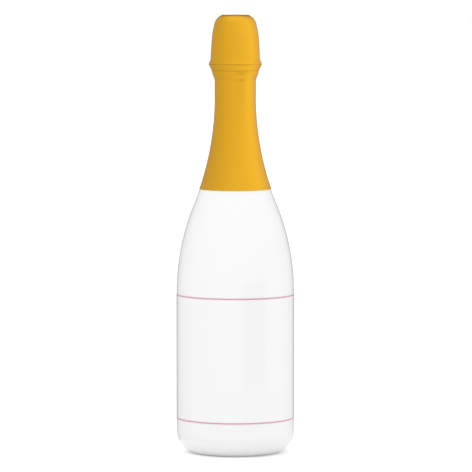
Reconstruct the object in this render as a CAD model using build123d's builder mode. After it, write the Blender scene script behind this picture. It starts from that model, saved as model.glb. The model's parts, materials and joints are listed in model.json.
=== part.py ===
import os
from math import asin, atan2, cos, degrees, radians, sin, sqrt

from build123d import *

os.makedirs("parts", exist_ok=True)

# A 75 cl bottle of sparkling wine: coated glass, a cork held down by a wire cage, and a foil capsule.
# Sizes are in millimetres. +Z is up, the foot ring stands on Z = 0 and the label faces -Y.

# Outside of the glass
body_radius = 44.0
heel_width = 14.9
heel_height = 16.6
shoulder_radius = 175.0
sweep_radius = 214.0
neck_radius = 15.1
glass_height = 303.0
foot_ring_width = 2.1
punt_height = 30.0
punt_bulge_shares = (0.76, 0.56)
punt_foot_slope = (0.45, -1)

# Inside of the glass
wall = 5.8
floor_thickness = 7.0
inner_heel_radius = 5.5
inner_heel_turn = 160
punt_thickness = 6.5
flank_thickness = 5.5
flank_tilt = 35
bore_taper = 8.0

# Mouth of the glass, with its depths measured down from the lip
lip_radius = 14.4
lip_depth = 2.2
collar_radius = 16.6
collar_depth = 3.4
collar_height = 4.4
collar_slope = 1.3
waist_radius = 14.4
waist_depth = 15.5
neck_taper = 6.5
neck_straight = 13.46
mouth_rounding = 0.5

# Cork
cork_radius = 9.0
cork_clearance = 0.05
cork_shank_length = 24.0
cork_disc_thickness = 5.5
cork_head_radius = 15.6
cork_head_height = 21.6
cork_belly_height = 11.0
cork_shoulder_radius = 13.65
cork_shoulder_height = 18.3
cork_top_radius = 11.0
cork_rounding = 0.8

# Wire cage and its cap
wire_radius = 0.5
leg_radius = 0.6
leg_count = 4
leg_bend_radius = 1.2
cage_clearance = 0.25
ring_radius = 10.7
seat_clearance = 0.05
belt_depth = 11.5
belt_radius = 16.4
eye_radius = 1.6
eye_place_radius = 16.95
tail_azimuth = 135.0
tail_length = 11.1
loop_radius = 3.6
loop_place_radius = 16.5
plaque_sheet = 0.3
plaque_radius = 12.1
plaque_rim_depth = 0.9
plaque_boss_radius = 9.5
plaque_boss_height = 2.3
plaque_boss_draft = 0.5

# Foil capsule
foil_thickness = 0.2
foil_clearance = 0.1
foil_length = 129.9
foil_fold_radius = 2.0
foil_disc_radius = 10.6
foil_rim_width = 1.5
foil_crown_radius = 10.3
foil_crown_clearance = 0.5
foil_bulge_slack = 0.65
foil_under_bulge_radius = 17.6
foil_under_bulge_depth = 4.9
foil_flare_radius = 17.2
foil_flare_depth = 7.3
foil_flare_end_depth = 11.3
tear_gap = 0.1
tear_strip_height = 4.5
tab_width = 6.0
tab_length = 8.5
tab_corner_radius = 1.5
tab_sheet = 0.25
tab_clearance = 0.4

# Label and wine
label_clearance = 0.05
label_thickness = 0.15
label_above_heel = 8.9
label_below_shoulder = 0.6
label_wrap = 180.0
wine_clearance = 0.15
wine_depth = 80.0

# Places that follow from the sizes above
foot_radius = body_radius - heel_width
punt_radius = foot_radius - foot_ring_width
arcs_radius = shoulder_radius + sweep_radius
arcs_height = sqrt(arcs_radius**2 - (arcs_radius - body_radius + neck_radius) ** 2)
shoulder_turn = degrees(asin(arcs_height / arcs_radius))
sweep_end = glass_height - waist_depth - neck_taper - neck_straight
shoulder_start = sweep_end - arcs_height
label_height = shoulder_start - label_below_shoulder - heel_height - label_above_heel
shoulder_center = (body_radius - shoulder_radius, shoulder_start)
sweep_center = (neck_radius + sweep_radius, sweep_end)
bore_radius = cork_radius + cork_clearance
collar_top = glass_height - collar_depth
collar_bottom = collar_top - collar_height
belt_height = glass_height - belt_depth
cork_top = glass_height + cork_head_height
cork_bottom = glass_height - cork_shank_length
plaque_seat = cork_top + plaque_sheet
plaque_top = plaque_seat + plaque_boss_height
leg_top = plaque_seat + seat_clearance + leg_radius
leg_stand_off = cage_clearance + leg_radius
eye_top = belt_height + eye_radius
foil_side_top = plaque_top + foil_crown_clearance + foil_thickness
foil_top = foil_side_top + foil_thickness
foil_hem = foil_top - foil_length
foil_gap = foil_clearance + foil_thickness
tear_bottom = belt_height - tear_strip_height
wine_level = glass_height - wine_depth
tab_top = tear_bottom + tear_gap
tab_radius = foil_under_bulge_radius + tab_clearance


def parallel(points, distance):
    """The same broken line moved sideways, to its left where the distance is positive."""
    turns = [atan2(b[1] - a[1], b[0] - a[0]) for a, b in zip(points, points[1:])]
    befores = [turns[0]] + turns
    afters = turns + [turns[-1]]
    moved = []
    for (x, y), before, after in zip(points, befores, afters):
        middle = (before + after) / 2
        reach = distance / cos((after - before) / 2)
        moved.append((x - reach * sin(middle), y + reach * cos(middle)))
    return moved


def radial_plane(azimuth):
    """An upright plane through the axis: its x points outwards at the azimuth and its y points up."""
    angle = radians(azimuth)
    return Plane(origin=(0, 0, 0), x_dir=(cos(angle), sin(angle), 0), z_dir=(sin(angle), -cos(angle), 0))


def draw_hollow(clearance):
    """Half section of the hollow in the glass, closed along the axis and kept clear of the glass."""
    valley_center = (body_radius - wall - inner_heel_radius, floor_thickness + inner_heel_radius)
    valley = CenterArc(valley_center, inner_heel_radius - clearance, -inner_heel_turn, inner_heel_turn)
    flank = flank_thickness + clearance
    bulge = (
        punt_radius * punt_bulge_shares[0] + flank * cos(radians(flank_tilt)),
        punt_height * punt_bulge_shares[1] + flank * sin(radians(flank_tilt)),
    )
    floor_top = (0, punt_height + punt_thickness + clearance)
    Spline(floor_top, bulge, valley @ 0, tangents=((1, 0), valley % 0))
    shoulder = CenterArc(shoulder_center, shoulder_radius - wall - clearance, 0, shoulder_turn)
    sweep_arc = CenterArc(sweep_center, sweep_radius + wall + clearance, 180, shoulder_turn)
    Line(valley @ 1, shoulder @ 0)
    bore_end = cork_bottom - seat_clearance
    Polyline(
        sweep_arc @ 0,
        (neck_radius - wall - clearance, bore_end - bore_taper),
        (bore_radius - clearance, bore_end),
        (bore_radius - clearance, glass_height),
        (0, glass_height),
        floor_top,
    )


# The bottle: a body, a long shoulder that sweeps into the neck, and a punt pushed up into the base
with BuildPart() as glass_bottle:
    with BuildSketch(Plane.XZ):
        with BuildLine():
            punt_bulge = (punt_radius * punt_bulge_shares[0], punt_height * punt_bulge_shares[1])
            Spline((0, punt_height), punt_bulge, (punt_radius, 0), tangents=((1, 0), punt_foot_slope))
            Line((punt_radius, 0), (foot_radius, 0))
            EllipticalCenterArc(
                (foot_radius, heel_height), heel_width, heel_height, start_angle=270, arc_size=90
            )
            shoulder = CenterArc(shoulder_center, shoulder_radius, 0, shoulder_turn)
            sweep_arc = CenterArc(sweep_center, sweep_radius, 180, shoulder_turn)
            Line((body_radius, heel_height), shoulder @ 0)
            mouth = FilletPolyline(
                sweep_arc @ 0,
                (neck_radius, sweep_end + neck_straight),
                (waist_radius, glass_height - waist_depth),
                (waist_radius, collar_bottom - collar_slope),
                (collar_radius, collar_bottom),
                (collar_radius, collar_top),
                (lip_radius, glass_height - lip_depth),
                (lip_radius, glass_height),
                (0, glass_height),
                radius=mouth_rounding,
            )
            Line(mouth @ 1, (0, punt_height))
        make_face()
        with BuildLine():
            draw_hollow(0)
        make_face(mode=Mode.SUBTRACT)
    revolve(axis=Axis.Z)
glass_bottle.part.label = "glass_bottle"
export_step(glass_bottle.part, "parts/glass_bottle.step")

# The wine fills the hollow up to its level in the neck
with BuildPart() as sparkling_wine:
    with BuildSketch(Plane.XZ):
        with BuildLine():
            draw_hollow(wine_clearance)
        make_face()
    revolve(axis=Axis.Z)
    split(bisect_by=Plane.XY.offset(wine_level), keep=Keep.BOTTOM)
sparkling_wine.part.label = "sparkling_wine"
export_step(sparkling_wine.part, "parts/sparkling_wine.step")

# The label wraps the front half of the body
with BuildPart() as front_label:
    with BuildSketch(radial_plane(270 - label_wrap / 2)):
        with Locations((body_radius + label_clearance, heel_height + label_above_heel)):
            Rectangle(label_thickness, label_height, align=(Align.MIN, Align.MIN))
    revolve(axis=Axis.Z, revolution_arc=label_wrap)
front_label.part.label = "front_label"
export_step(front_label.part, "parts/front_label.step")

# The cork: a shank in the bore with two discs of whole cork under it, and a head squeezed by the cage
with BuildPart() as cork_body:
    with BuildSketch(Plane.XZ):
        with BuildLine():
            head = FilletPolyline(
                (0, cork_top),
                (cork_top_radius, cork_top),
                (cork_shoulder_radius, glass_height + cork_shoulder_height),
                (cork_head_radius, glass_height + cork_belly_height),
                (cork_head_radius, glass_height),
                (cork_radius, glass_height),
                radius=cork_rounding,
            )
            Polyline(
                head @ 1,
                (cork_radius, cork_bottom + 2 * cork_disc_thickness),
                (0, cork_bottom + 2 * cork_disc_thickness),
                head @ 0,
            )
        make_face()
    revolve(axis=Axis.Z)
cork_body.part.label = "cork_body"
export_step(cork_body.part, "parts/cork_body.step")

with BuildPart() as cork_disc_upper:
    with Locations((0, 0, cork_bottom + cork_disc_thickness)):
        Cylinder(cork_radius, cork_disc_thickness, align=(Align.CENTER, Align.CENTER, Align.MIN))
cork_disc_upper.part.label = "cork_disc_upper"
export_step(cork_disc_upper.part, "parts/cork_disc_upper.step")

with BuildPart() as cork_disc_lower:
    with Locations((0, 0, cork_bottom)):
        Cylinder(cork_radius, cork_disc_thickness, align=(Align.CENTER, Align.CENTER, Align.MIN))
cork_disc_lower.part.label = "cork_disc_lower"
export_step(cork_disc_lower.part, "parts/cork_disc_lower.step")

# The cage's cap: a pressed disc with a raised middle, and a rim turned down over the cork
with BuildPart() as cage_plaque:
    with BuildSketch(Plane.XZ):
        with BuildLine():
            outer_points = [
                (0, plaque_top),
                (plaque_boss_radius, plaque_top),
                (plaque_boss_radius + plaque_boss_draft, plaque_seat),
                (plaque_radius, plaque_seat),
                (plaque_radius, plaque_seat - plaque_rim_depth),
            ]
            inner_points = parallel(outer_points, -plaque_sheet)
            Polyline(*outer_points, *reversed(inner_points), outer_points[0])
        make_face()
    revolve(axis=Axis.Z)
cage_plaque.part.label = "cage_plaque"
export_step(cage_plaque.part, "parts/cage_plaque.step")

# The cage's frame: a ring on the cap, and legs that run down over the cork and past the collar
leg_points = [
    (ring_radius, leg_top),
    (plaque_radius + wire_radius, leg_top),
    (cork_shoulder_radius + leg_stand_off, (glass_height + cork_shoulder_height + cork_top) / 2),
    (cork_head_radius + leg_stand_off, glass_height + cork_belly_height),
    (collar_radius + leg_stand_off, collar_top),
    (collar_radius + leg_stand_off, eye_top + collar_slope),
]

with BuildPart() as cage_leg:
    with BuildLine(Plane.XZ) as leg_path:
        FilletPolyline(*leg_points, radius=leg_bend_radius)
    with BuildSketch(Plane(origin=leg_path.line @ 0, z_dir=leg_path.line % 0)):
        Circle(leg_radius)
    sweep(path=leg_path.line)

with BuildPart() as cage_frame:
    with Locations((0, 0, leg_top)):
        Torus(ring_radius, wire_radius)
    with PolarLocations(0, leg_count):
        add(cage_leg.part)
cage_frame.part.label = "cage_frame"
export_step(cage_frame.part, "parts/cage_frame.step")

# The eye at the end of each leg, closed round the belt
with BuildPart() as cage_eye:
    with BuildLine(Plane.XZ) as stub_path:
        Line(leg_points[-1], (eye_place_radius, eye_top))
    with BuildSketch(Plane.XY.offset(leg_points[-1][1])):
        with Locations((leg_points[-1][0], 0)):
            Circle(leg_radius)
    sweep(path=stub_path.line)
    with Locations(Location((eye_place_radius, 0, belt_height), (90, 0, 0))):
        Torus(eye_radius, wire_radius)

with BuildPart() as cage_eyes:
    with PolarLocations(0, leg_count):
        add(cage_eye.part)
cage_eyes.part.label = "cage_eyes"
export_step(cage_eyes.part, "parts/cage_eyes.step")

# The belt under the collar, with its ends twisted into a tail that is folded up and ends in a loop
tail_end = belt_height + tail_length
with BuildPart() as belt_tail:
    with BuildLine(Plane.XZ) as tail_path:
        FilletPolyline(
            (belt_radius, belt_height),
            (collar_radius + leg_stand_off, eye_top + wire_radius),
            (collar_radius + leg_stand_off, collar_top + leg_radius),
            (loop_place_radius, tail_end),
            radius=leg_bend_radius,
        )
    with BuildSketch(Plane(origin=tail_path.line @ 0, z_dir=tail_path.line % 0)):
        Circle(leg_radius)
    sweep(path=tail_path.line)
    with Locations(Location((loop_place_radius, 0, tail_end + loop_radius), (0, 90, 0))):
        Torus(loop_radius, wire_radius)

with BuildPart() as cage_belt:
    with Locations((0, 0, belt_height)):
        Torus(belt_radius, wire_radius)
    with Locations(Location((0, 0, 0), (0, 0, tail_azimuth))):
        add(belt_tail.part)
cage_belt.part.label = "cage_belt"
export_step(cage_belt.part, "parts/cage_belt.step")

# The capsule is one sleeve of foil, drawn from its turned-in rim down to the neck, that tears in three
foil_neck_radius = neck_radius + foil_gap
foil_points = [
    (foil_crown_radius - foil_rim_width, foil_side_top),
    (foil_crown_radius, foil_side_top),
    *parallel(leg_points, leg_radius + foil_gap)[1:-1],
    (collar_radius + leg_stand_off + leg_radius + foil_gap, collar_bottom),
    (eye_place_radius + eye_radius + wire_radius + foil_gap + foil_bulge_slack, belt_height),
    (foil_under_bulge_radius, belt_height - foil_under_bulge_depth),
    (foil_flare_radius, belt_height - foil_flare_depth),
    (foil_neck_radius, belt_height - foil_flare_end_depth),
    (foil_neck_radius, sweep_end),
]


def draw_foil():
    """Half section of the sleeve, from its rim to where the neck starts to widen."""
    outer = FilletPolyline(*foil_points, radius=foil_fold_radius)
    inner = FilletPolyline(*parallel(foil_points, -foil_thickness), radius=foil_fold_radius)
    Line(outer @ 0, inner @ 0)
    Line(outer @ 1, inner @ 1)


with BuildPart() as foil_sleeve:
    with BuildSketch(Plane.XZ):
        with BuildLine():
            draw_foil()
        make_face()
    revolve(axis=Axis.Z)

with BuildPart() as foil_head:
    add(foil_sleeve.part)
    split(bisect_by=Plane.XY.offset(belt_height + tear_gap / 2), keep=Keep.TOP)
foil_head.part.label = "foil_head"
export_step(foil_head.part, "parts/foil_head.step")

with BuildPart() as tear_strip:
    add(foil_sleeve.part)
    split(bisect_by=Plane.XY.offset(belt_height - tear_gap / 2), keep=Keep.BOTTOM)
    split(bisect_by=Plane.XY.offset(tear_bottom + tear_gap / 2), keep=Keep.TOP)
tear_strip.part.label = "tear_strip"
export_step(tear_strip.part, "parts/tear_strip.step")

# The skirt follows the neck and the sweep down to its hem
hem_turn = degrees(asin((sweep_end - foil_hem) / sweep_radius))
with BuildPart() as foil_skirt:
    add(foil_sleeve.part)
    split(bisect_by=Plane.XY.offset(tear_bottom - tear_gap / 2), keep=Keep.BOTTOM)
    with BuildSketch(Plane.XZ):
        with BuildLine():
            outer_sweep = CenterArc(sweep_center, sweep_radius - foil_gap, 180, hem_turn)
            inner_sweep = CenterArc(sweep_center, sweep_radius - foil_clearance, 180, hem_turn)
            Line(outer_sweep @ 0, inner_sweep @ 0)
            Line(outer_sweep @ 1, inner_sweep @ 1)
        make_face()
    revolve(axis=Axis.Z)
foil_skirt.part.label = "foil_skirt"
export_step(foil_skirt.part, "parts/foil_skirt.step")

# The disc that closes the top of the capsule lies on the turned-in rim
with BuildPart() as foil_top_disc:
    with Locations((0, 0, foil_side_top)):
        Cylinder(foil_disc_radius, foil_thickness, align=(Align.CENTER, Align.CENTER, Align.MIN))
foil_top_disc.part.label = "foil_top_disc"
export_step(foil_top_disc.part, "parts/foil_top_disc.step")

# The pull tab hangs from the tear strip at the back
with BuildPart() as tear_tab:
    with BuildSketch(Plane.XZ.offset(-tab_radius)):
        with Locations((0, tab_top)):
            Rectangle(tab_width, tab_length, align=(Align.CENTER, Align.MAX))
    extrude(amount=-tab_sheet)
    fillet(tear_tab.edges().filter_by(Axis.Y).group_by(Axis.Z)[0], tab_corner_radius)
tear_tab.part.label = "tear_tab"
export_step(tear_tab.part, "parts/tear_tab.step")
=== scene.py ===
# %% [markdown]
# # A bottle of sparkling wine
# The bottle is white coated glass, closed by a cork that a wire cage holds down, with a gold foil capsule
# over both. Almost everything on it is round, so most pieces here are one outline that is spun about the
# bottle's axis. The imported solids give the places, and this script gives every piece its fine shape and
# its finish.

# %% Load the solids
import json
import math

import bmesh
import bpy
from mathutils import Matrix, Vector, noise
from mathutils.geometry import interpolate_bezier

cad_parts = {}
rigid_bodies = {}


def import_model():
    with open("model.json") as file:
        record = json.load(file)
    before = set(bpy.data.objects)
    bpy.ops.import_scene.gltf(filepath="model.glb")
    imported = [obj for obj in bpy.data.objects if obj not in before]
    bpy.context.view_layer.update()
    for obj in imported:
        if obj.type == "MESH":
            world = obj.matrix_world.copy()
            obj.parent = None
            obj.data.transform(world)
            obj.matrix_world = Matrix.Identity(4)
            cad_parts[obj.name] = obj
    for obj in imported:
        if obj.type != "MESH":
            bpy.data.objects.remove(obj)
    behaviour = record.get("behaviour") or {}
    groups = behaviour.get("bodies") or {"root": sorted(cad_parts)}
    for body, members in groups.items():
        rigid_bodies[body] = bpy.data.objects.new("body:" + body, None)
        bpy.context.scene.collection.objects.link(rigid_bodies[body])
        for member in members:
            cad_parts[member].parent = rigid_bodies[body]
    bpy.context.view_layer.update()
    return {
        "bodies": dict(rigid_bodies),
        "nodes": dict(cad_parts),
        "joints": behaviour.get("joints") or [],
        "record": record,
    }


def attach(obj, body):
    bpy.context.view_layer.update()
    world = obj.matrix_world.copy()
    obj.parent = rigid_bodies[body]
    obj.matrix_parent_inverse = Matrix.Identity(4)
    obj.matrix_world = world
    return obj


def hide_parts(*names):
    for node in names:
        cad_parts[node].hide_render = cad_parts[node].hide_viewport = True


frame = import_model()
MM = 0.001
print("nodes", sorted(frame["nodes"]))

# %% [markdown]
# ## Helpers for round pieces
# An outline is a short list of (radius, height) points in millimetres. Corners are rounded with a small
# Bezier curve and arcs come from a formula, so that each list stays as short as the drawing of a turned
# part. The outline becomes a chain of edges in a bmesh, and spin turns it about the Z axis. A thin piece
# is spun as one skin and given its thickness by solidify.

# %% Outlines
AXIS = Vector((0, 0, 1))
FINE_STEPS = 160
SMALL_STEPS = 96


def arc(center, radius, start, end, steps):
    """Points on a circle, with the angles in degrees."""
    angles = [math.radians(start + (end - start) * i / steps) for i in range(steps + 1)]
    return [(center[0] + radius * math.cos(a), center[1] + radius * math.sin(a)) for a in angles]


def rounded(points, radii, steps=6):
    """The same broken line with its corners rounded to their radii, as far as there is room for them."""
    line = [Vector((x, 0, z)) for x, z in points]
    made = [line[0]]
    if not isinstance(radii, list):
        radii = [radii] * (len(points) - 2)
    for before, corner, after, radius in zip(line, line[1:], line[2:], radii):
        back, on = before - corner, after - corner
        half_turn = max((math.pi - back.angle(on)) / 2, 0.001)
        reach = min(radius * math.tan(half_turn), 0.49 * back.length, 0.49 * on.length)
        handle = 4 / 3 * math.tan(half_turn / 2) / math.tan(half_turn)
        start, end = corner + back.normalized() * reach, corner + on.normalized() * reach
        made += interpolate_bezier(start, start.lerp(corner, handle), end.lerp(corner, handle), end, steps)
    made.append(line[-1])
    return [(p.x, p.z) for p in made]


def resampled(points, step):
    """The same line with more points, so that no two neighbours are further apart than a step."""
    made = [points[0]]
    for a, b in zip(points, points[1:]):
        count = max(1, math.ceil(math.dist(a, b) / step))
        made += [
            (a[0] + (b[0] - a[0]) * i / count, a[1] + (b[1] - a[1]) * i / count)
            for i in range(1, count + 1)
        ]
    return made


# %% Spinning an outline
def new_piece(name, shape, body, replaced=(), smooth_angle=35):
    """Puts a bmesh into the scene as a piece that rides on a body and stands for some nodes."""
    mesh = bpy.data.meshes.new(name)
    shape.to_mesh(mesh)
    shape.free()
    piece = bpy.data.objects.new(name, mesh)
    bpy.context.scene.collection.objects.link(piece)
    mesh.shade_smooth()
    mesh.set_sharp_from_angle(angle=math.radians(smooth_angle))
    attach(piece, body)
    if replaced:
        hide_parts(*replaced)
    print(name, len(mesh.polygons), "faces")
    return piece


def spin_outline(points, steps=FINE_STEPS, turn=360.0, start=0.0):
    """Spins (radius, height) points in millimetres about the axis into a bmesh skin."""
    shape = bmesh.new()
    facing = Matrix.Rotation(math.radians(start), 3, "Z")
    chain = [shape.verts.new(facing @ Vector((x * MM, 0, z * MM))) for x, z in points]
    edges = [shape.edges.new(pair) for pair in zip(chain, chain[1:])]
    full = turn >= 360
    bmesh.ops.spin(
        shape, geom=chain + edges, axis=AXIS, cent=(0, 0, 0), angle=math.radians(turn),
        steps=steps, use_merge=full,
    )
    bmesh.ops.remove_doubles(shape, verts=shape.verts, dist=0.001 * MM)
    bmesh.ops.recalc_face_normals(shape, faces=shape.faces)
    return shape


def thicken(shape, thickness):
    """Gives a skin its thickness, in millimetres, on its inner side."""
    bmesh.ops.solidify(shape, geom=shape.faces[:], thickness=thickness * MM)
    return shape


def face_outwards(shape):
    """Turns an open skin's faces away from the axis."""
    for face in shape.faces:
        if face.normal.dot(face.calc_center_median() * Vector((1, 1, 0))) < 0:
            face.normal_flip()
    return shape


def join_shapes(shapes):
    """One bmesh that holds several."""
    whole = shapes[0]
    for part in shapes[1:]:
        mesh = bpy.data.meshes.new("joined")
        part.to_mesh(mesh)
        part.free()
        whole.from_mesh(mesh)
        bpy.data.meshes.remove(mesh)
    return whole


# %% [markdown]
# ## Writing shader maths as Python
# A material's values are worked out by Math nodes. Wired by hand they are hard to read, so one small
# class wraps a socket and lets Python's own operators add the nodes. Colours go through a Mix node.

# %% Signals and paints
class Signal:
    """A socket that can be added to, multiplied and compared like a number."""

    def __init__(self, paint, socket):
        self.paint = paint
        self.socket = socket

    def math(self, operation, *others):
        values = dict(enumerate((self, *others)))
        made = self.paint.node("ShaderNodeMath", {"operation": operation}, values)
        return Signal(self.paint, made.outputs[0])

    def __add__(self, other):
        return self.math("ADD", other)

    def __mul__(self, other):
        return self.math("MULTIPLY", other)

    def __sub__(self, other):
        return self.math("SUBTRACT", other)

    def __rsub__(self, other):
        return (self * -1.0) + other

    def __truediv__(self, other):
        return self.math("DIVIDE", other)

    def __gt__(self, other):
        return self.math("GREATER_THAN", other)

    def __lt__(self, other):
        return self.math("LESS_THAN", other)


class Paint:
    """A material whose node tree is filled in by expressions."""

    def __init__(self, name, color, **fixed):
        self.material = bpy.data.materials.new(name)
        self.material.use_nodes = True
        self.material.diffuse_color = (*color, 1)
        self.tree = self.material.node_tree
        self.shader = self.tree.nodes["Principled BSDF"]
        self.shader.inputs["Base Color"].default_value = (*color, 1)
        for socket, value in fixed.items():
            self.shader.inputs[socket.replace("_", " ")].default_value = value
        self.place = self.signal("ShaderNodeTexCoord", "Object")

    def node(self, kind, settings, inputs):
        made = self.tree.nodes.new(kind)
        stops = settings.get("stops")
        for key, value in settings.items():
            if key != "stops":
                setattr(made, key, value)
        for index, (position, color) in enumerate(stops or []):
            ramp = made.color_ramp.elements
            stop = ramp[index] if index < 2 else ramp.new(position)
            stop.position = position
            stop.color = (*color, 1)
        for key, value in inputs.items():
            self.feed(made.inputs[key], value)
        return made

    def feed(self, socket, value):
        if isinstance(value, Signal):
            self.tree.links.new(value.socket, socket)
        else:
            socket.default_value = value

    def signal(self, kind, output, settings=None, inputs=None):
        return Signal(self, self.node(kind, settings or {}, inputs or {}).outputs[output])

    def stretched(self, scale):
        return self.signal("ShaderNodeMapping", "Vector", {}, {"Vector": self.place, "Scale": scale})

    def noise(self, scale, detail=3.0, stretch=(1, 1, 1)):
        inputs = {"Vector": self.stretched(stretch), "Scale": scale, "Detail": detail}
        return self.signal("ShaderNodeTexNoise", "Fac", {}, inputs)

    def warped(self, scale, reach):
        """The place of each point, pushed about by a noise with a reach in millimetres."""
        inputs = {"Vector": self.place, "Scale": scale, "Detail": 2.0}
        drift = self.signal("ShaderNodeTexNoise", "Color", {}, inputs)
        way = self.vector("SUBTRACT", drift, (0.5, 0.5, 0.5))
        return self.vector("MULTIPLY_ADD", way, (2 * reach * MM,) * 3, self.place)

    def vector(self, operation, *values):
        inputs = dict(enumerate(values))
        return self.signal("ShaderNodeVectorMath", "Vector", {"operation": operation}, inputs)

    def axes(self):
        made = self.node("ShaderNodeSeparateXYZ", {}, {"Vector": self.place})
        return [Signal(self, output) for output in made.outputs]

    def mix(self, factor, a, b):
        a = a if isinstance(a, Signal) else (*a, 1)
        b = b if isinstance(b, Signal) else (*b, 1)
        made = self.node("ShaderNodeMix", {"data_type": "RGBA"}, {0: factor, 6: a, 7: b})
        return Signal(self, made.outputs[2])

    def ramp(self, value, stops):
        return self.signal("ShaderNodeValToRGB", "Color", {"stops": stops}, {"Fac": value})

    def bump(self, height, depth, strength=1.0):
        """Raises the surface by a height from 0 to 1 times a depth in millimetres."""
        inputs = {"Height": height, "Distance": depth * MM, "Strength": strength}
        self.set("Normal", self.signal("ShaderNodeBump", "Normal", {}, inputs))

    def set(self, socket, value):
        self.feed(self.shader.inputs[socket], value)


def wear(piece, *paints):
    """Gives a piece its materials, in the order of its material slots."""
    piece.data.materials.clear()
    for paint in paints:
        piece.data.materials.append(paint.material)
    print(piece.name, "wears", *(paint.material.name for paint in paints))


# %% [markdown]
# ## Camera
# The photograph looks a little down on the bottle from far away, so its sides stay straight and upright.
# The lens is worked out from the real width that the picture covers at the bottle.

# %% Camera
PICTURE_PIXELS = 472
SCALE_MM = 0.7496
CAMERA_DISTANCE = 3000.0
CAMERA_HEIGHT = 400.0
AIM_HEIGHT = 162.6
AIM_SIDE = 0.5
SENSOR_MM = 36.0

camera_place = Vector((AIM_SIDE, -CAMERA_DISTANCE, CAMERA_HEIGHT)) * MM
camera_aim = Vector((AIM_SIDE, 0, AIM_HEIGHT)) * MM
line_of_sight = camera_aim - camera_place
camera_data = bpy.data.cameras.new("camera")
camera_data.sensor_width = SENSOR_MM
camera_data.lens = SENSOR_MM * line_of_sight.length / (PICTURE_PIXELS * SCALE_MM * MM)
camera = bpy.data.objects.new("camera", camera_data)
camera.location = camera_place
camera.rotation_euler = line_of_sight.to_track_quat("-Z", "Y").to_euler()
bpy.context.scene.collection.objects.link(camera)
bpy.context.scene.camera = camera
bpy.context.scene.view_settings.view_transform = "Standard"
print("lens", round(camera_data.lens, 1))

# %% [markdown]
# ## World, floor and lamp
# The picture's ground is pure white. The world is plain white at a strength of 1, which shows as white
# and gives most of the light. The floor is a matt white board. It glows a little, but only for the
# camera, for reflections and for sight through glass, so it shows as white too and still keeps the
# bottle's shadow. One soft lamp at the upper left gives the forms a direction. Reflections don't see it,
# because it would stand on the gold as a stripe of its own.

# %% White world
WORLD_LIGHT = 1.0
world = bpy.data.worlds.new("white_room")
bpy.context.scene.world = world
world.use_nodes = True
background = world.node_tree.nodes["Background"]
background.inputs["Color"].default_value = (1, 1, 1, 1)
background.inputs["Strength"].default_value = WORLD_LIGHT
print("world", world.name, "at", WORLD_LIGHT)


# %% Floor
FLOOR_SIZE = 12.0
FLOOR_WHITE, FLOOR_GLOW = 0.9, 0.24


def stage_piece_from(name, shape):
    """A piece of the stage, which is no part of the bottle."""
    mesh = bpy.data.meshes.new(name)
    shape.to_mesh(mesh)
    shape.free()
    made = bpy.data.objects.new(name, mesh)
    bpy.context.scene.collection.objects.link(made)
    return made


def seen_directly(paint):
    """1 for camera, glossy and transmission rays, and 0 for the rest."""
    rays = paint.node("ShaderNodeLightPath", {}, {})
    camera_ray, glossy_ray, transmission_ray = (
        Signal(paint, rays.outputs[f"Is {kind} Ray"]) for kind in ("Camera", "Glossy", "Transmission")
    )
    return (camera_ray + glossy_ray + transmission_ray).math("MINIMUM", 1.0)


floor_shape = bmesh.new()
bmesh.ops.create_grid(floor_shape, x_segments=1, y_segments=1, size=FLOOR_SIZE / 2)
floor = stage_piece_from("floor", floor_shape)
floor_paint = Paint(
    "floor_white", (FLOOR_WHITE,) * 3, Roughness=0.9, Specular_IOR_Level=0.0, Emission_Strength=1.0
)
floor_glow = floor_paint.mix(seen_directly(floor_paint), (0.0, 0.0, 0.0), (FLOOR_GLOW,) * 3)
floor_paint.set("Emission Color", floor_glow)
wear(floor, floor_paint)

# %% Lamp
BOTTLE_MIDDLE = Vector((0, 0, 0.17))
KEY_PLACE = Vector((-1.1, -1.5, 1.5))
KEY_SIDE, KEY_POWER = 1.2, 3.0
key_data = bpy.data.lights.new("key", "AREA")
key_data.shape = "RECTANGLE"
key_data.size = key_data.size_y = KEY_SIDE
key_data.energy = KEY_POWER
key = bpy.data.objects.new("key", key_data)
key.location = KEY_PLACE
key.rotation_euler = (BOTTLE_MIDDLE - KEY_PLACE).to_track_quat("-Z", "Y").to_euler()
key.visible_glossy = False
bpy.context.scene.collection.objects.link(key)
print("lamp", key.name, KEY_POWER, "W")

# %% [markdown]
# ## Wall and cards for the reflections
# Metal shows what stands round it, so a photographer puts graded boards beside a bottle. Here one round
# wall does that, and only reflections see it. It is dim on the left, grows brighter in a straight ramp to
# the right, and is dark behind, which draws a thin edge on the gold. Its foot reaches in under the foil's
# bulge, where the faces look down. Two low dark cards give the white body its faint band and grey edges.

# %% Wall that only reflections see
WALL_DISTANCE, WALL_HEIGHT = 1.0, 1.6
WALL_FOOT_RADIUS, WALL_FOOT_HEIGHT = 60.0, 0.5
WALL_STEPS = 48
WALL_LEVEL = 1.2
# Azimuth and level: a straight ramp from dim on the left to bright on the right, and dark behind
WALL_SHADES = [(-180, 0.1), (-165, 0.1), (-150, 0.5), (90, 1.1), (150, 0.6), (165, 0.1), (180, 0.1)]


def only_in_reflections(stage_piece):
    """Hides a piece of the stage from everything but glossy rays."""
    stage_piece.visible_camera = False
    stage_piece.visible_diffuse = False
    stage_piece.visible_shadow = False
    stage_piece.visible_transmission = False


def glowing(name, strength):
    """A black paint that glows white with a strength."""
    paint = Paint(name, (0, 0, 0), Roughness=1.0, Specular_IOR_Level=0.0)
    paint.shader.inputs["Emission Strength"].default_value = strength
    return paint


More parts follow.
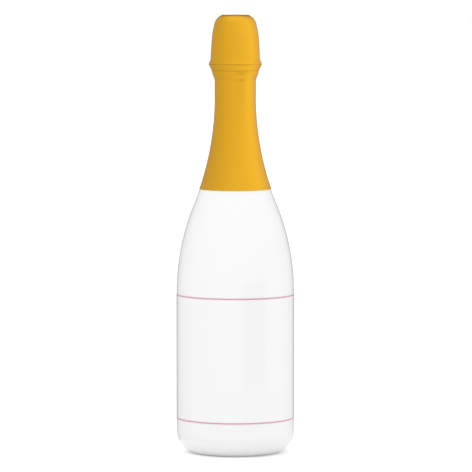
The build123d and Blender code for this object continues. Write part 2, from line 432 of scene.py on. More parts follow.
wall_outline = [
    (WALL_FOOT_RADIUS, WALL_FOOT_HEIGHT),
    (WALL_DISTANCE / MM, WALL_FOOT_HEIGHT),
    (WALL_DISTANCE / MM, WALL_HEIGHT / MM),
]
wall = stage_piece_from("reflection_wall", spin_outline(wall_outline, WALL_STEPS))
wall_glow = glowing("wall_glow", WALL_LEVEL)
x, y, _ = wall_glow.axes()
turned = x.math("ARCTAN2", y * -1.0) / math.tau + 0.5
stops = [(azimuth / 360 + 0.5, (shade / WALL_LEVEL,) * 3) for azimuth, shade in WALL_SHADES]
wall_glow.set("Emission Color", wall_glow.ramp(turned, [stops[0], stops[-1], *stops[1:-1]]))
wear(wall, wall_glow)
only_in_reflections(wall)

# %% Low cards
CARD_GLOW, CARD_STEPS = 0.3, 16
# Each card's distance and height in millimetres, the degrees where it starts and the degrees it spans
CARDS = {"band_card": (500, 150, -78, 46), "edge_card": (220, 260, 54, 72)}
dark_card = glowing("dark_card", CARD_GLOW)
for name, (distance, high, start, turn) in CARDS.items():
    card_skin = spin_outline([(distance, 0), (distance, high)], CARD_STEPS, turn, start)
    low_card = stage_piece_from(name, card_skin)
    wear(low_card, dark_card)
    only_in_reflections(low_card)

# %% [markdown]
# ## Glass
# The bottle is blown glass with a white coat on its outside. Its outline is a foot ring, a rounded heel,
# a straight body, a shoulder arc that runs into a long hollow sweep, the neck, and the collar and lip
# that hold the cage. The inside is the same line moved in by the wall, so one closed outline, spun once,
# makes a true hollow bottle. Inside, the glass is bare and green.

# %% Glass outline
BODY_RADIUS = 44.0
HEEL_WIDTH, HEEL_HEIGHT = 14.9, 16.6
SHOULDER_START = 120.4
SHOULDER_ARC, SWEEP_ARC = 175.0, 214.0
NECK_RADIUS = 15.1
GLASS_HEIGHT = 303.0
WALL = 5.8
FOOT_RADIUS = BODY_RADIUS - HEEL_WIDTH
PUNT_RADIUS, PUNT_HEIGHT = 27.0, 30.0
FLOOR_THICKNESS, INNER_HEEL, PUNT_THICKNESS = 7.0, 5.5, 6.5
BORE_RADIUS = 9.05
CORK_BOTTOM = 279.0
MOUTH_RADIUS, COLLAR_RADIUS = 14.4, 16.6
NECK_TOP, MOUTH_FOOT = 281.0, 287.5
COLLAR_FOOT, COLLAR_LOW, COLLAR_HIGH, COLLAR_TOP = 293.9, 295.2, 299.6, 300.8
BORE_TAPER = 8.0
MOUTH_ROUNDING = 0.9
PUNT_SIDE = (20.5, 16.8)
FOOT_RING_INSIDE = 28.0
BARE_LIP_RADIUS = 13.4

arcs_radius = SHOULDER_ARC + SWEEP_ARC
arcs_height = math.sqrt(arcs_radius**2 - (arcs_radius - BODY_RADIUS + NECK_RADIUS) ** 2)
shoulder_turn = math.degrees(math.asin(arcs_height / arcs_radius))
sweep_end = SHOULDER_START + arcs_height
shoulder_center = (BODY_RADIUS - SHOULDER_ARC, SHOULDER_START)
sweep_center = (NECK_RADIUS + SWEEP_ARC, sweep_end)


def bezier(start, start_handle, end_handle, end, steps=14):
    """Points on one Bezier curve between (radius, height) points."""
    corners = [Vector((x, 0, z)) for x, z in (start, start_handle, end_handle, end)]
    return [(p.x, p.z) for p in interpolate_bezier(*corners, steps)]


def body_sweep(inset, steps=40):
    """The shoulder and the sweep, from the body up to the neck, moved in by an inset."""
    shoulder = arc(shoulder_center, SHOULDER_ARC - inset, 0, shoulder_turn, steps // 2)
    sweep = arc(sweep_center, SWEEP_ARC + inset, 180 + shoulder_turn, 180, steps)
    return shoulder + sweep[1:]


def heel_curve(steps=20):
    """The quarter of an ellipse from the foot ring up to the body."""
    angles = [math.radians(-90 + 90 * i / steps) for i in range(steps + 1)]
    return [(FOOT_RADIUS + HEEL_WIDTH * math.cos(a), HEEL_HEIGHT + HEEL_HEIGHT * math.sin(a)) for a in angles]


mouth = rounded(
    [
        (NECK_RADIUS, sweep_end),
        (NECK_RADIUS, NECK_TOP),
        (MOUTH_RADIUS, MOUTH_FOOT),
        (MOUTH_RADIUS, COLLAR_FOOT),
        (COLLAR_RADIUS, COLLAR_LOW),
        (COLLAR_RADIUS, COLLAR_HIGH),
        (MOUTH_RADIUS, COLLAR_TOP),
        (MOUTH_RADIUS, GLASS_HEIGHT),
        (BORE_RADIUS, GLASS_HEIGHT),
        (BORE_RADIUS, CORK_BOTTOM),
        (NECK_RADIUS - WALL, CORK_BOTTOM - BORE_TAPER),
        (NECK_RADIUS - WALL, sweep_end),
    ],
    MOUTH_ROUNDING,
)
valley = (BODY_RADIUS - WALL - INNER_HEEL, FLOOR_THICKNESS + INNER_HEEL)
inner_valley = arc(valley, INNER_HEEL, 0, -160, 20)
punt_top = bezier((0, PUNT_HEIGHT), (12.0, PUNT_HEIGHT), (19.0, 21.0), PUNT_SIDE)
punt_outside = punt_top + bezier(PUNT_SIDE, (22.6, 11.0), (24.4, 5.8), (PUNT_RADIUS, 0))[1:]
punt_inside = bezier(
    inner_valley[-1], (25.6, 17.5), (20.0, PUNT_HEIGHT + PUNT_THICKNESS), (0, PUNT_HEIGHT + PUNT_THICKNESS)
)
outside = punt_outside + [(FOOT_RING_INSIDE, 0)] + heel_curve() + body_sweep(0) + mouth[1:]
inside = body_sweep(WALL)[::-1][1:] + inner_valley + punt_inside[1:]
glass_shape = spin_outline(outside + inside)


def on_bare_glass(face):
    """True for the faces that the coat doesn't reach: the hollow and the inner half of the lip."""
    center = face.calc_center_median()
    out = Vector((center.x, center.y, 0))
    inwards = out.length > 1e-6 and face.normal.dot(out.normalized()) < -0.2
    above_punt = center.z > (PUNT_HEIGHT + 1) * MM or out.length > PUNT_RADIUS * MM
    lip = center.z > (GLASS_HEIGHT - 0.3) * MM and out.length < BARE_LIP_RADIUS * MM
    hollow = FLOOR_THICKNESS * MM < center.z < GLASS_HEIGHT * MM and inwards and above_punt
    return lip or hollow


for face in glass_shape.faces:
    face.material_index = 1 if on_bare_glass(face) else 0
bottle_glass = new_piece("bottle_glass", glass_shape, "bottle", ["glass_bottle"])

# %% [markdown]
# The coat is a satin white lacquer under a clear gloss. It is never quite even: the gloss ripples a
# little with the glass, and the white varies by a percent or so.

# %% Coat and bare glass
coat = Paint("white_coat", (0.93, 0.93, 0.925), Roughness=0.45, Coat_Weight=1.0, Coat_Roughness=0.06)
cloud = coat.noise(9.0)
coat.set("Base Color", coat.mix(cloud, (0.945, 0.945, 0.942), (0.925, 0.925, 0.92)))
coat.set("Roughness", coat.noise(60.0) * 0.1 + 0.4)
coat.bump(coat.noise(14.0, 2.0, (1, 1, 0.4)), 0.25, 0.25)

green_glass = Paint("green_glass", (0.055, 0.1, 0.035), Roughness=0.06, IOR=1.52, Coat_Weight=0.6)
green_glass.set("Base Color", green_glass.mix(
    green_glass.noise(40.0), (0.05, 0.095, 0.03), (0.075, 0.13, 0.045),
))
wear(bottle_glass, coat, green_glass)

# %% [markdown]
# ## Wine
# The wine fills the hollow to its level in the neck. Nobody sees it while the bottle is closed and
# coated, but it is there when the glass is cut or made clear.

# %% Wine
WINE_GAP = 0.15
WINE_LEVEL = 223.0
WINE_TOP_INSET = 0.35
BUBBLE_SIZE = 0.16
wine_wall = WALL + WINE_GAP
wine_side = [p for p in body_sweep(wine_wall) if p[1] < WINE_LEVEL]
wine_radius = wine_side[-1][0] - WINE_TOP_INSET
wine_outline = (
    [(0, PUNT_HEIGHT + PUNT_THICKNESS + WINE_GAP)]
    + [(r, z + WINE_GAP) for r, z in punt_inside[::-1][1:-1]]
    + arc(valley, INNER_HEEL - WINE_GAP, -160, 0, 20)
    + wine_side
    + [(wine_radius, WINE_LEVEL), (0, WINE_LEVEL)]
)
wine = new_piece("wine", spin_outline(wine_outline, SMALL_STEPS), "bottle", ["sparkling_wine"])
wine_paint = Paint("pale_gold_wine", (0.87, 0.74, 0.33), Roughness=0.04, IOR=1.34)
bubble_place = {"Vector": wine_paint.place, "Scale": 260.0}
bubbles = wine_paint.signal("ShaderNodeTexVoronoi", "Distance", {}, bubble_place)
wine_paint.set("Base Color", wine_paint.mix(bubbles < BUBBLE_SIZE, (0.87, 0.74, 0.33), (0.97, 0.92, 0.7)))
wine_paint.set("Alpha", wine_paint.noise(30.0) * 0.05 + 0.8)
wear(wine, wine_paint)

# %% [markdown]
# ## Label
# The label area wraps the front half of the body. It is blank, with a fine dotted line printed along its
# edges. The dots are counted along the arc for the level lines and along the height for the upright ones.

# %% Label
LABEL_LOW, LABEL_HIGH = 25.5, 119.8
LABEL_WRAP = 180.0
LABEL_RADIUS, LABEL_THICKNESS = BODY_RADIUS + 0.2, 0.15
LABEL_ROWS = 8
label_rows = [
    (LABEL_RADIUS, LABEL_LOW + (LABEL_HIGH - LABEL_LOW) * i / LABEL_ROWS) for i in range(LABEL_ROWS + 1)
]
label_shape = spin_outline(label_rows, FINE_STEPS // 2, LABEL_WRAP, 270 - LABEL_WRAP / 2)
label_shape = thicken(face_outwards(label_shape), LABEL_THICKNESS)
label = new_piece("label_sheet", label_shape, "bottle", ["front_label"])

# %% [markdown]
# The border is printed, so it is part of the label's finish and not of its shape. An offset keeps the
# length along the arc above zero, so that the dots repeat evenly across the middle.

# %% Printed border
LINE_WIDTH, LINE_INSET = 1.2, 0.2
ARC_OFFSET = 500.0
UPRIGHT_LINE_TURN = 80.0
DOT_PERIOD, DOT_SHARE = 1.5, 0.62
label_paint = Paint("label_film", (0.93, 0.93, 0.925), Roughness=0.4, Coat_Weight=1.0, Coat_Roughness=0.08)
x, y, z = label_paint.axes()
height = z / MM
around = x.math("ARCTAN2", y * -1.0) * LABEL_RADIUS
upright_place = math.radians(UPRIGHT_LINE_TURN) * LABEL_RADIUS
far_up = (height - (LABEL_LOW + LABEL_HIGH) / 2).math("ABSOLUTE")
from_level_edge = (LABEL_HIGH - LABEL_LOW) / 2 - far_up
from_upright_edge = upright_place - around.math("ABSOLUTE")


def dots(value):
    """1 for the printed share of each period along a line."""
    return (value / DOT_PERIOD).math("FRACT") < DOT_SHARE


def line_band(distance):
    """1 between the two sides of a printed line."""
    return (distance > LINE_INSET) * (distance < LINE_INSET + LINE_WIDTH)


level_line = line_band(from_level_edge) * dots(around + ARC_OFFSET) * (from_upright_edge > LINE_INSET)
upright_line = line_band(from_upright_edge) * dots(height)
ink = level_line.math("MAXIMUM", upright_line)
film = label_paint.mix(label_paint.noise(120.0), (0.94, 0.94, 0.938), (0.925, 0.925, 0.92))
label_paint.set("Base Color", label_paint.mix(ink, film, (0.55, 0.012, 0.22)))
label_paint.set("Roughness", label_paint.noise(200.0) * 0.08 + 0.38 + ink * 0.1)
wear(label, label_paint)

# %% [markdown]
# ## Cork
# A cork for sparkling wine is made of pressed granules, with two discs of whole cork at its wine end. In
# the bottle its shank is squeezed to the bore and its head swells out over the lip, pressed to a dome by
# the cage. The granules are small cells of a Voronoi pattern, each with its own brown, and they leave
# tiny pits in the surface.

# %% Cork body
CORK_RADIUS, CORK_TOP = 9.0, 324.6
DISC_THICKNESS = 5.5
CROWN_RADIUS, CROWN_SIDE = 11.0, (13.65, 321.3)
CORK_HEAD_RADIUS, CORK_HEAD_SIDE_TOP = 15.6, 314.0
CORK_ROUNDING, CORK_CREASE = 0.8, 60
PIT_DEPTH, PIT_GRAIN, PIT_LEVEL = 0.35, 1.1, 0.15
cork_head = rounded(
    [
        (0, CORK_TOP),
        (CROWN_RADIUS, CORK_TOP),
        CROWN_SIDE,
        (CORK_HEAD_RADIUS, CORK_HEAD_SIDE_TOP),
        (CORK_HEAD_RADIUS, GLASS_HEIGHT),
        (CORK_RADIUS, GLASS_HEIGHT),
        (CORK_RADIUS, CORK_BOTTOM + 2 * DISC_THICKNESS),
        (0, CORK_BOTTOM + 2 * DISC_THICKNESS),
    ],
    CORK_ROUNDING,
)


def pitted(shape, depth, grain):
    """Presses small pits into a surface, up to a depth, where the grains of a cork leave gaps."""
    shape.normal_update()
    for vert in shape.verts:
        gap = max(0.0, noise.noise(vert.co / (grain * MM)) - PIT_LEVEL)
        vert.co -= vert.normal * gap * depth * MM
    return shape


cork_shape = spin_outline(resampled(cork_head, 0.7), 180)
cork_shape = pitted(cork_shape, PIT_DEPTH, PIT_GRAIN)
cork = new_piece("cork_body_pressed", cork_shape, "cork", ["cork_body"], CORK_CREASE)

# %% Pressed cork finish
pressed_cork = Paint("pressed_cork", (0.5, 0.3, 0.16), Roughness=0.9)
grain_place = {"Vector": pressed_cork.warped(620.0, 1.1), "Scale": 470.0}
grain_color = pressed_cork.signal("ShaderNodeTexVoronoi", "Color", {}, grain_place)
grain_edge = pressed_cork.signal(
    "ShaderNodeTexVoronoi", "Distance", {"feature": "DISTANCE_TO_EDGE"}, grain_place
)
grain_shade = pressed_cork.signal("ShaderNodeSeparateColor", "Red", {}, {"Color": grain_color})
mottle = pressed_cork.noise(1500.0, 4.0)
pressed_cork.set("Base Color", pressed_cork.mix(
    pressed_cork.ramp(grain_edge, [(0.015, (1, 1, 1)), (0.09, (0, 0, 0))]),
    pressed_cork.ramp(
        grain_shade * 0.7 + mottle * 0.5 - 0.1,
        [(0.0, (0.3, 0.15, 0.065)), (1.0, (0.68, 0.46, 0.27)), (0.5, (0.53, 0.32, 0.165))],
    ),
    (0.3, 0.16, 0.075),
))
pressed_cork.bump(grain_edge.math("MINIMUM", 0.12) * 5.0 + mottle * 0.4, 0.12, 0.8)
wear(cork, pressed_cork)

# %% [markdown]
# The two discs are punched from whole bark, which holds the wine better than granules do. Bark grows in
# layers and has dark pores, so the finish is a stretched noise with spots. The joint between the discs is
# glued, so only the lower edge is worn round.

# %% Whole cork discs
WORN_EDGE, GLUED_EDGE = 0.25, 0.08
PORE_LEVEL = 0.64
whole_cork = Paint("whole_cork", (0.6, 0.4, 0.22), Roughness=0.85)
growth = whole_cork.noise(70.0, 4.0, (1.0, 6.0, 1.0))
pores = whole_cork.noise(420.0, 2.0, (1.0, 1.0, 0.35))
whole_cork.set("Base Color", whole_cork.mix(
    pores > PORE_LEVEL,
    whole_cork.ramp(growth, [(0.25, (0.48, 0.29, 0.14)), (0.75, (0.68, 0.48, 0.28))]),
    (0.25, 0.13, 0.06),
))
whole_cork.bump(growth * 0.5 + (pores < PORE_LEVEL) * 0.5, 0.25, 0.8)
for name, node, bottom, edge in (
    ("cork_disc_wine_end", "cork_disc_lower", CORK_BOTTOM, WORN_EDGE),
    ("cork_disc_inner", "cork_disc_upper", CORK_BOTTOM + DISC_THICKNESS, GLUED_EDGE),
):
    top = bottom + DISC_THICKNESS
    disc_outline = rounded([(0, bottom), (CORK_RADIUS, bottom), (CORK_RADIUS, top), (0, top)], edge)
    disc = new_piece(name, spin_outline(resampled(disc_outline, 1.0), 120), "cork", [node])
    wear(disc, whole_cork)

# %% [markdown]
# ## Cap and wire cage
# The cage is bent from zinc coated steel wire. Two strands are twisted into each of its four legs, which
# hang from a ring on the cap, and every leg ends in an eye round the belt. The belt closes under the
# collar with a twisted tail that ends in a loop. A wire is a small circle that is extruded from point to
# point along its path, and a ring is the same circle spun.

# %% Wires
RING_RADIUS, RING_HEIGHT = 10.7, 325.55
WIRE_RADIUS, TWIST_RADIUS = 0.5, 0.6
BELT_RADIUS, BELT_HEIGHT = 16.4, 291.5
LEG_RADIUS = 17.45
EYE_TOP = 293.1
STRAND_SHARE, WIRE_STEP = 0.6, 0.22
WIRE_BEND, WIRE_CREASE = 1.2, 60


def frames_along(path):
    """A matrix at each point of a path, with its Z axis along the path and no needless turning."""
    points = [Vector(p) * MM for p in path]
    ways = [(b - a).normalized() for a, b in zip(points, points[1:])]
    ways = [ways[0]] + [(a + b).normalized() for a, b in zip(ways, ways[1:])] + [ways[-1]]
    facing = ways[0].to_track_quat("Z", "X")
    frames = []
    for point, way, last in zip(points, ways, [ways[0]] + ways):
        facing = last.rotation_difference(way) @ facing
        frames.append(Matrix.Translation(point) @ facing.to_matrix().to_4x4())
    return frames


def wire(path, radius, sides=10):
    """A round wire along a path, made by extruding a circle from frame to frame."""
    shape = bmesh.new()
    frames = frames_along(path)
    bmesh.ops.create_circle(shape, cap_ends=True, segments=sides, radius=radius * MM, matrix=frames[0])
    edges = shape.edges[:]
    for before, after in zip(frames, frames[1:]):
        made = bmesh.ops.extrude_edge_only(shape, edges=edges)["geom"]
        verts = [item for item in made if isinstance(item, bmesh.types.BMVert)]
        moved = set(verts)
        edges = [
            item for item in made
            if isinstance(item, bmesh.types.BMEdge) and moved.issuperset(item.verts)
        ]
        bmesh.ops.transform(shape, matrix=after @ before.inverted(), verts=verts)
    bmesh.ops.contextual_create(shape, geom=edges)
    bmesh.ops.recalc_face_normals(shape, faces=shape.faces)
    return shape


def ring(radius, wire_radius, steps=120, sides=12):
    """A closed ring of wire round the Z axis."""
    circle = arc((radius, 0), wire_radius, 0, 360, sides)
    return spin_outline(circle, steps)


def placed(shape, matrix):
    """A bmesh moved to its place."""
    bmesh.ops.transform(shape, matrix=matrix, verts=shape.verts)
    return shape


def at(place, turn, axis):
    """The matrix that turns a piece by some degrees and takes it to a place in millimetres."""
    return Matrix.Translation(Vector(place) * MM) @ Matrix.Rotation(math.radians(turn), 4, axis)


def twisted_pair(path, turns):
    """Two strands that wind round each other along a path of (radius, height) points."""
    line = resampled(path, WIRE_STEP)
    strand_radius = STRAND_SHARE * TWIST_RADIUS
    offset = TWIST_RADIUS - strand_radius
    frames = frames_along([(x, 0, z) for x, z in line])
    strands = []
    for phase in (0.0, math.pi):
        angles = [phase + math.tau * turns * i / (len(frames) - 1) for i in range(len(frames))]
        points = [
            (frame @ Vector((offset * math.cos(a) * MM, offset * math.sin(a) * MM, 0))) / MM
            for frame, a in zip(frames, angles)
        ]
        strands.append(wire(points, strand_radius, 8))
    return join_shapes(strands)


def four_times(shape):
    """The same piece at each quarter of the way round the bottle."""
    geometry = shape.verts[:] + shape.edges[:] + shape.faces[:]
    bmesh.ops.spin(
        shape, geom=geometry, axis=AXIS, cent=(0, 0, 0), angle=math.radians(270), steps=3, use_duplicate=True,
        use_merge=False,
    )
    return shape


# %% [markdown]
# The legs of the frame come down from the ring over the cork's head and stand clear of the collar. One leg
# is a line with four corners that two strands follow, and is then spun to the four quarters.

# %% Cage frame
LEG_CORNERS = [(12.6, RING_HEIGHT), (14.5, 322.95), (16.45, 314.0), (LEG_RADIUS, 299.6)]
LEG_FOOT, LEG_TURNS = 294.4, 13
leg_line = rounded([(RING_RADIUS, RING_HEIGHT), *LEG_CORNERS, (LEG_RADIUS, LEG_FOOT)], WIRE_BEND)
legs = four_times(twisted_pair(leg_line, LEG_TURNS))
top_ring = placed(ring(RING_RADIUS, WIRE_RADIUS), Matrix.Translation((0, 0, RING_HEIGHT * MM)))
frame_shape = join_shapes([legs, top_ring])
frame_wires = new_piece(
    "cage_frame_wires", frame_shape, "cage", ["cage_frame"], WIRE_CREASE
)

# %% [markdown]
# Each leg ends in an eye, bent round the belt. The belt is a wire of its own under the collar. Its ends
# are twisted into a tail that is folded up against the neck and ends in the loop that opens the cage.
# The tail stands between two legs, where there is room for it under the foil.

# %% Eyes and belt
EYE_RADIUS, EYE_MIDDLE, EYE_TURNS = 1.6, 16.95, 0.6
TAIL_CORNERS, TAIL_TOP = [(LEG_RADIUS, 293.6), (LEG_RADIUS, 300.2)], (16.5, 302.6)
TAIL_TURNS, TAIL_AZIMUTH = 4.5, 135
LOOP_RADIUS, LOOP_MIDDLE = 3.6, (16.5, 0, 306.2)
eye_neck = twisted_pair([(LEG_RADIUS, LEG_FOOT), (EYE_MIDDLE, EYE_TOP)], EYE_TURNS)
eye_ring = placed(ring(EYE_RADIUS, WIRE_RADIUS, 32, 10), at((EYE_MIDDLE, 0, BELT_HEIGHT), 90, "X"))
eye_shape = four_times(join_shapes([eye_neck, eye_ring]))
eyes = new_piece("cage_eye_wires", eye_shape, "cage", ["cage_eyes"], WIRE_CREASE)

tail_line = rounded([(BELT_RADIUS, BELT_HEIGHT), *TAIL_CORNERS, TAIL_TOP], WIRE_BEND)
loop = placed(ring(LOOP_RADIUS, WIRE_RADIUS, 60, 10), at(LOOP_MIDDLE, 90, "Y"))
tail = join_shapes([twisted_pair(tail_line, TAIL_TURNS), loop])
placed(tail, Matrix.Rotation(math.radians(TAIL_AZIMUTH), 4, "Z"))
belt_ring = placed(ring(BELT_RADIUS, WIRE_RADIUS), Matrix.Translation((0, 0, BELT_HEIGHT * MM)))
belt_shape = join_shapes([belt_ring, tail])
belt = new_piece("cage_belt_wire", belt_shape, "cage", ["cage_belt"], WIRE_CREASE)

# %% [markdown]
# The wire is galvanized steel, a dull grey metal with small lighter and darker flakes of zinc.

# %% Zinc finish
zinc_wire = Paint("zinc_wire", (0.62, 0.63, 0.64), Roughness=0.35, Metallic=0.9)
zinc_wire.set("Base Color", zinc_wire.mix(zinc_wire.noise(700.0), (0.5, 0.51, 0.53), (0.72, 0.72, 0.71)))
zinc_wire.set("Roughness", zinc_wire.noise(900.0) * 0.25 + 0.22)
for piece in (frame_wires, eyes, belt):
    wear(piece, zinc_wire)

# %% [markdown]
# The cap is stamped from thin lacquered tin. Two raised rings stiffen its middle, and the wire ring lies
# on the step outside them. It is one skin, spun and thickened.

# %% Cap
CAP_TOP, CAP_SEAT, CAP_RIM = 327.2, 324.9, 12.1
CAP_HOLLOW, CAP_SKIRT, CAP_SHEET = 0.25, 0.9, 0.28
CAP_STEP_RADIUS, CAP_ROUNDING = 10.0, 0.35
# Radius and depth below the top
CAP_FACE = [
    (0, CAP_HOLLOW), (3.4, CAP_HOLLOW), (3.9, 0), (4.5, 0),
    (5.0, CAP_HOLLOW), (7.8, CAP_HOLLOW), (8.4, 0), (9.5, 0),
]
cap_edge = [(CAP_STEP_RADIUS, CAP_SEAT), (CAP_RIM, CAP_SEAT), (CAP_RIM, CAP_SEAT - CAP_SKIRT)]
cap_outline = rounded([(radius, CAP_TOP - depth) for radius, depth in CAP_FACE] + cap_edge, CAP_ROUNDING, 4)
cap_shape = thicken(spin_outline(cap_outline), CAP_SHEET)
cap = new_piece("cage_cap", cap_shape, "cage", ["cage_plaque"])
cap_tin = Paint(
    "lacquered_tin", (0.75, 0.5, 0.14), Roughness=0.3, Metallic=0.9, Coat_Weight=0.4, Coat_Roughness=0.1
)
cap_tin.set("Base Color", cap_tin.mix(cap_tin.noise(90.0), (0.72, 0.47, 0.12), (0.82, 0.58, 0.2)))
cap_tin.bump(cap_tin.noise(900.0), 0.01, 0.4)
wear(cap, cap_tin)

# %% [markdown]
# ## Foil capsule
# The capsule is one sleeve of thin gold foil that is pressed over the cork, the cage and the neck, with a
# disc over its turned-in top. Perforations make the tear strip. The sleeve is one outline cut at two
# heights, and soft folds run down it where the machine has pressed the foil to the glass.

# %% Foil outline
FOIL_SIDE_TOP = 327.9
FOIL_NECK_RADIUS = 15.4
FOIL_SHEET, FOIL_CLEAR = 0.11, 0.3
FOIL_HEM = 198.2
STRIP_TOP, STRIP_BOTTOM = 291.5, 287.0
TEAR_GAP = 0.1
TURNED_IN_RADIUS = 8.8
# Radius, height and rounding of each corner: over the cork, down the cage, the bulge over the belt, and
# the step in to the neck
SLEEVE_CORNERS = [
    (10.3, FOIL_SIDE_TOP, 2.5),
    (13.05, 326.45, 9.0),
    (15.38, 323.2, 14.0),
    (17.33, 314.2, 50.0),
    (18.35, 299.6, 60.0),
    (18.35, 295.2, 5.0),
    (20.0, 291.5, 2.0),
    (17.6, 286.6, 7.0),
    (17.2, 284.2, 6.0),
    (FOIL_NECK_RADIUS, 280.2, 8.0),
]
sleeve_corners = [(radius, height) for radius, height, _ in SLEEVE_CORNERS]
head_line = rounded(
    [(TURNED_IN_RADIUS, FOIL_SIDE_TOP), *sleeve_corners, (FOIL_NECK_RADIUS, sweep_end)],
    [rounding for *_, rounding in SLEEVE_CORNERS],
    10,
)

HEM_BAND, HEM_STEP = 1.9, 0.16
HEM_START, HEM_END = 0.08, 0.06
foil_arc = SWEEP_ARC - FOIL_CLEAR
hem_turn = math.degrees(math.asin((sweep_end - FOIL_HEM) / foil_arc))
band_turn = hem_turn - math.degrees(HEM_BAND / SWEEP_ARC)
foil_sweep = arc(sweep_center, foil_arc, 180, 180 + band_turn, 60)
hem_band = [
    *arc(sweep_center, foil_arc - HEM_STEP, 180 + band_turn + HEM_START, 180 + hem_turn - HEM_END, 6),
    *arc(sweep_center, foil_arc - HEM_STEP / 3, 180 + hem_turn, 180 + hem_turn, 1),
]
sleeve_line = resampled(head_line + foil_sweep[1:] + hem_band, 0.9)
print("sleeve from", FOIL_SIDE_TOP, "to", FOIL_HEM, "mm in", len(sleeve_line), "points")


def between(line, low, high):
    """The part of a falling outline between two heights, with a point at each end."""
    made = []
    for a, b in zip(line, line[1:]):
        for height in (high, low):
            if a[1] > height >= b[1] and a[1] != b[1]:
                share = (a[1] - height) / (a[1] - b[1])
                made.append((a[0] + (b[0] - a[0]) * share, height))
        if low < b[1] < high:
            made.append(b)
    return sorted(set(made), key=lambda point: -point[1])


PLEAT_HEIGHT, PLEAT_REACH, PLEAT_SHARPNESS = 283.5, 7.0, 5
FOLDED_FROM = 9
BROAD_COUNT, BROAD_LENGTH = 5, 30
FINE_COUNT, FINE_LENGTH = 14, 22


def folded(shape, depth, pleat_depth):
    """Presses a foil skin in, in soft folds that run down it and sharper pleats under the cage."""
    for vert in shape.verts:
        out = Vector((vert.co.x, vert.co.y, 0))
        if out.length > FOLDED_FROM * MM:
            facing = out.normalized()
            height = vert.co.z / MM
            around = Vector((facing.x * BROAD_COUNT, facing.y * BROAD_COUNT, height / BROAD_LENGTH))
            broad = 0.5 + 0.5 * noise.noise(around)
            around = Vector((facing.x * FINE_COUNT, facing.y * FINE_COUNT, height / FINE_LENGTH))
            fine = abs(noise.noise(around))
            near = max(0.0, 1 - abs(height - PLEAT_HEIGHT) / PLEAT_REACH)
            pleat = near * (1 - min(1.0, PLEAT_SHARPNESS * fine))
            vert.co -= facing * (depth * broad + pleat_depth * pleat) * MM
    return shape


# %% [markdown]
# The sleeve parts at the two perforated lines, into the head over the cork, the tear strip and the skirt.
# Each part is spun, gets its folds and then its thickness, so that inside and outside fold together.

# %% Foil pieces
FOIL_STEPS = 240
FOLD_DEPTH, PLEAT_DEPTH = 0.06, 0.07
ABOVE_ALL = 400
head_foot = STRIP_TOP + TEAR_GAP / 2
head_part = [p for p in sleeve_line if p[1] > head_foot]
head_part.append(between(sleeve_line, head_foot, ABOVE_ALL)[-1])
strip_part = between(sleeve_line, STRIP_BOTTOM + TEAR_GAP / 2, STRIP_TOP - TEAR_GAP / 2)
skirt_part = between(sleeve_line, FOIL_HEM - 1, STRIP_BOTTOM - TEAR_GAP / 2)
foil_pieces = []
for name, part, body, node in (
    ("capsule_head", head_part, "capsule_head", "foil_head"),
    ("capsule_tear_strip", strip_part, "bottle", "tear_strip"),
    ("capsule_skirt", skirt_part, "bottle", "foil_skirt"),
):
    skin = folded(face_outwards(spin_outline(part, FOIL_STEPS)), FOLD_DEPTH, PLEAT_DEPTH)
    foil_pieces.append(new_piece(name, thicken(skin, FOIL_SHEET), body, [node]))

# %% [markdown]
# A disc with a raised rim closes the turned-in top of the sleeve. The tab is the loose end of the tear
# strip at the back: a small plate with its two lower corners rounded by a bevel.

# %% Top disc and tab
DISC_SHEET, DISC_FACE, DISC_RIM, DISC_EDGE = 0.04, 327.95, 328.1, 327.91
disc_line = rounded(
    [
        (0, DISC_FACE), (7.6, DISC_FACE), (7.9, DISC_RIM), (10.4, DISC_RIM), (10.6, DISC_FACE),
        (10.6, DISC_EDGE),
    ],
    0.2,
    4,
)
disc_skin = thicken(spin_outline(resampled(disc_line, 0.6), 120), DISC_SHEET)
top_disc = new_piece("capsule_top_disc", disc_skin, "capsule_head", ["foil_top_disc"])

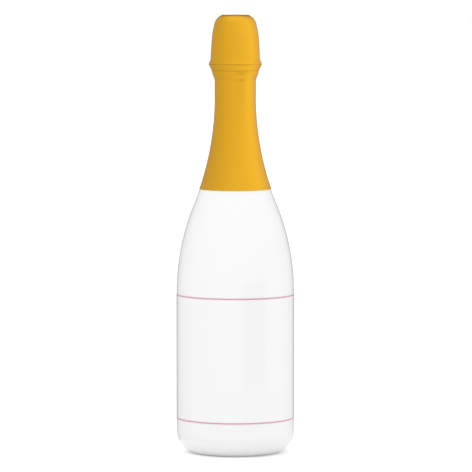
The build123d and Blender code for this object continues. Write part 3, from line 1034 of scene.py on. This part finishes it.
TAB_TOP, TAB_WIDTH, TAB_LENGTH, TAB_SHEET, TAB_PLACE = 287.1, 6.0, 8.5, 0.25, 18.0
TAB_CORNER, TAB_CORNER_STEPS = 1.5, 8
tab_shape = bmesh.new()
bmesh.ops.create_cube(tab_shape, size=1.0)
bmesh.ops.scale(tab_shape, vec=(TAB_WIDTH * MM, TAB_SHEET * MM, TAB_LENGTH * MM), verts=tab_shape.verts)
tab_middle = (0, TAB_PLACE + TAB_SHEET / 2, TAB_TOP - TAB_LENGTH / 2)
bmesh.ops.translate(tab_shape, vec=Vector(tab_middle) * MM, verts=tab_shape.verts)


def is_low_corner(edge):
    """True for the two edges that run through the plate at its lower corners."""
    low = all(vert.co.z < (TAB_TOP - TAB_LENGTH + 0.1) * MM for vert in edge.verts)
    return low and abs(edge.verts[0].co.x - edge.verts[1].co.x) < 1e-6


bmesh.ops.bevel(
    tab_shape, geom=[edge for edge in tab_shape.edges if is_low_corner(edge)], offset=TAB_CORNER * MM,
    offset_type="OFFSET", segments=TAB_CORNER_STEPS, profile=0.5, affect="EDGES", material=-1,
)
tab = new_piece("capsule_tab", tab_shape, "tab", ["tear_tab"])

# %% [markdown]
# The foil is thin metal with a satin gold lacquer. Its colour varies a little in broad patches, fine marks
# run down it, and a row of short dark cuts perforates it along each side of the tear strip.

# %% Gold foil
PERFORATION_INSET, PERFORATION_HALF = 0.25, 0.07
CUTS_PER_RADIAN, CUT_SHARE = 12.0, 0.55
gold = Paint("gold_foil", (0.86, 0.46, 0.022), Roughness=0.42, Metallic=0.85)
patches = gold.noise(35.0, 2.0, (1, 1, 0.3))
x, y, z = gold.axes()
height = z / MM
cuts = (x.math("ARCTAN2", y) * CUTS_PER_RADIAN).math("FRACT") < CUT_SHARE
from_upper_row = (height - (STRIP_TOP + PERFORATION_INSET)).math("ABSOLUTE")
from_lower_row = (height - (STRIP_BOTTOM - PERFORATION_INSET)).math("ABSOLUTE")
perforated = from_upper_row.math("MINIMUM", from_lower_row) < PERFORATION_HALF
foil_color = gold.mix(patches, (0.85, 0.45, 0.019), (0.89, 0.475, 0.026))
gold.set("Base Color", gold.mix(perforated * cuts, foil_color, (0.2, 0.1, 0.01)))
gold.set("Roughness", gold.noise(160.0) * 0.1 + 0.36)
gold.bump(gold.noise(260.0, 3.0, (1, 1, 0.35)), 0.05, 0.3)
for piece in (*foil_pieces, top_disc, tab):
    wear(piece, gold)
